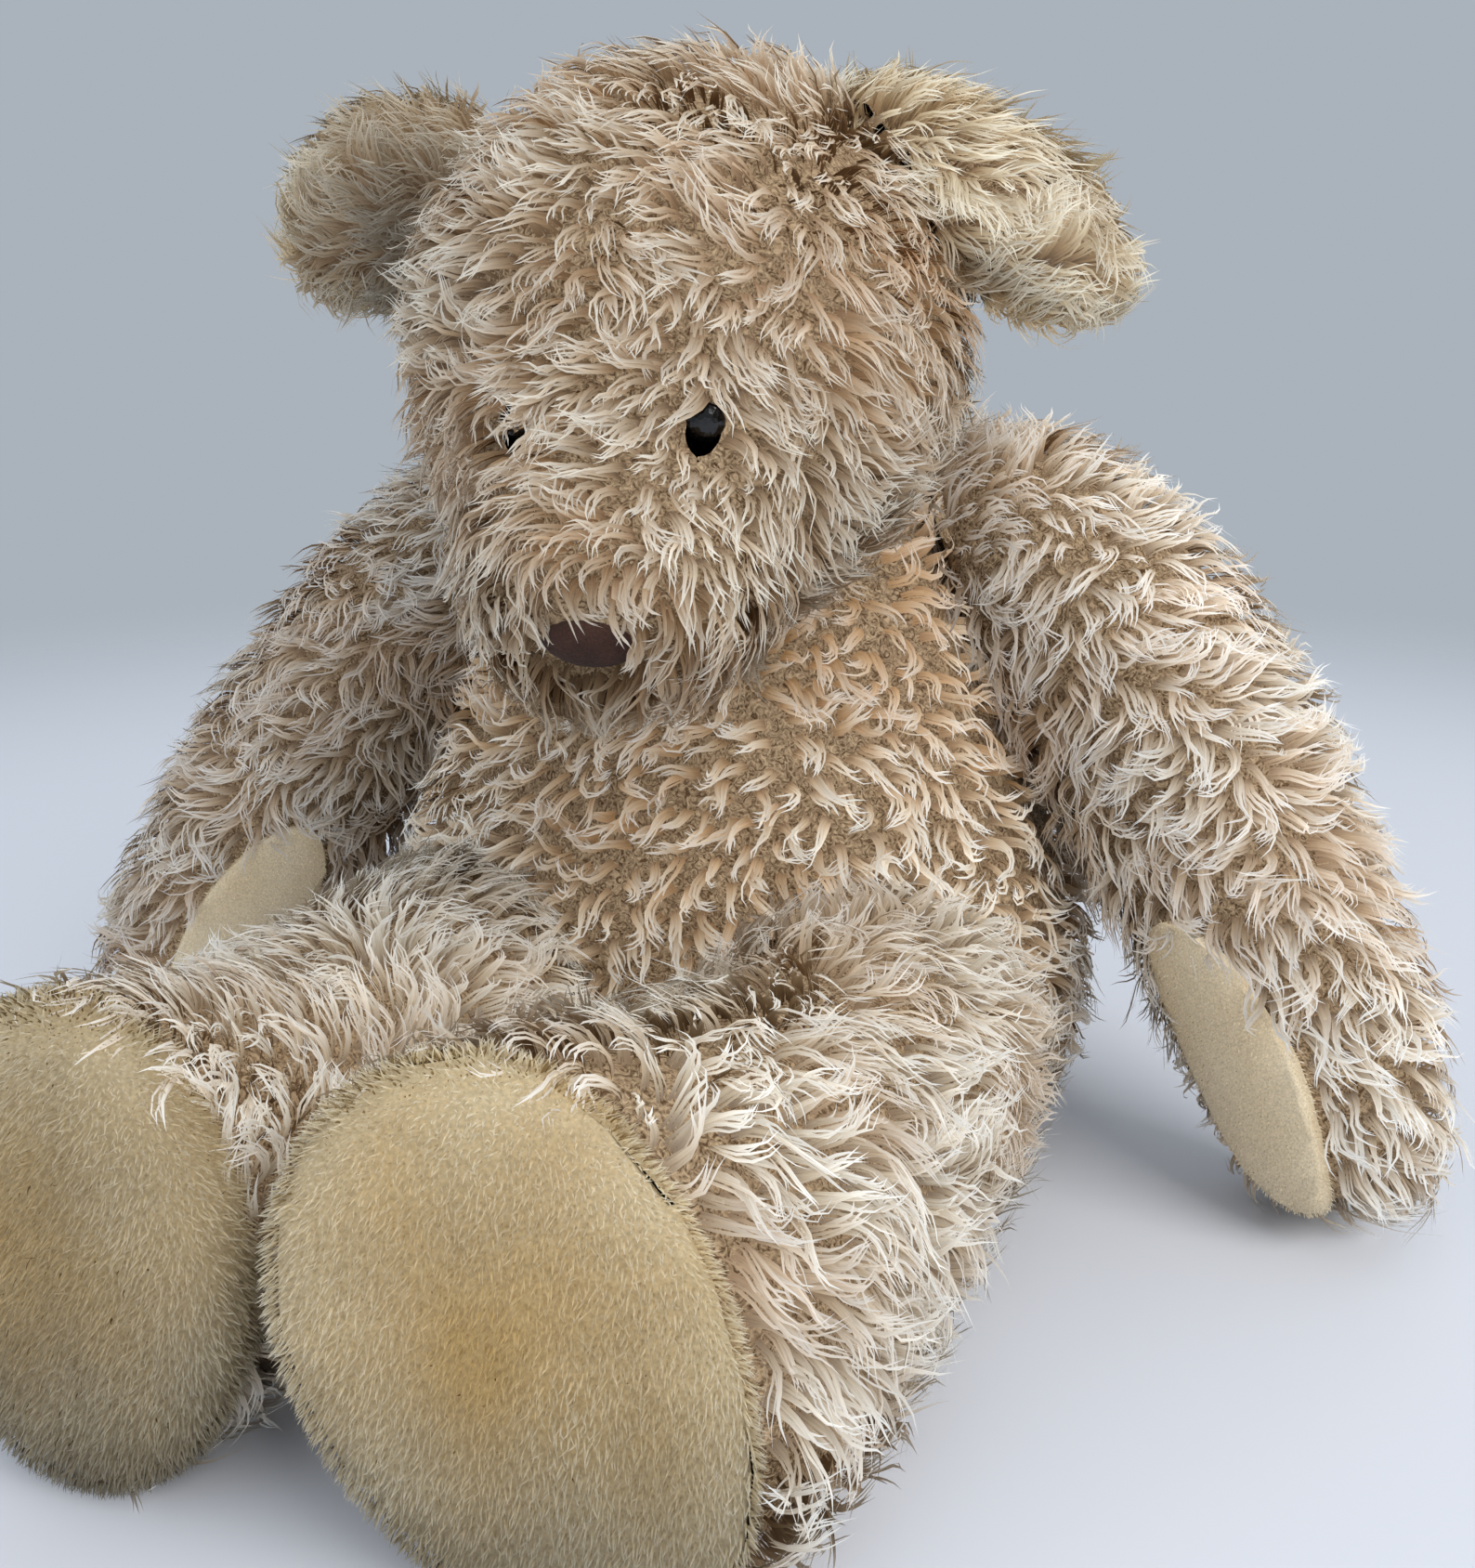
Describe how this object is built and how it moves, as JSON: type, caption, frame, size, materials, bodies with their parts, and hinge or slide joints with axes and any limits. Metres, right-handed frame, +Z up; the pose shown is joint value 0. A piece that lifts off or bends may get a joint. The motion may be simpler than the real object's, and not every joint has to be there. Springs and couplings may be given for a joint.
{
  "type": "plush toy bear",
  "caption": "Large seated plush bear with a bowed head, floppy limbs, long curly cream pile, short-pile soles, velour paw pads, brown nose and black eyes.",
  "frame": {"origin": "middle of the flat seat under the torso, on the surface that the bear sits on", "axes": "+Z up, the bear faces -Y and its left is +X"},
  "size_m": [0.7766, 0.5801, 0.5475],
  "materials": {
    "head_pile": "long curly pile, cream tips over tan roots",
    "body_pile": "curly matted pile, tan with cream tips, stained",
    "limb_pile": "long wavy pile, pale cream over tan",
    "foot_pile": "short dense pile, golden at the middle",
    "paw_velour": "smooth velour",
    "nose_nap": "dark brown short nap",
    "eye_gloss": "glossy black",
    "washer": "plain white",
    "wadding": "loose white filling"
  },
  "bodies": {
    "root": {"torso": "body_pile", "torso_stuffing": "wadding", "head": "head_pile", "head_stuffing": "wadding", "eye_left": "eye_gloss", "eye_left_washer": "washer", "eye_right": "eye_gloss", "eye_right_washer": "washer", "nose": "nose_nap", "nose_washer": "washer", "ear_left": "head_pile", "ear_right": "head_pile", "arm_left": "limb_pile", "arm_left_stuffing": "wadding", "paw_pad_left": "paw_velour", "leg_left": "limb_pile", "leg_left_stuffing": "wadding", "foot_pad_left": "foot_pile", "arm_right": "limb_pile", "arm_right_stuffing": "wadding", "paw_pad_right": "paw_velour", "leg_right": "limb_pile", "leg_right_stuffing": "wadding", "foot_pad_right": "foot_pile"}
  },
  "joints": []
}
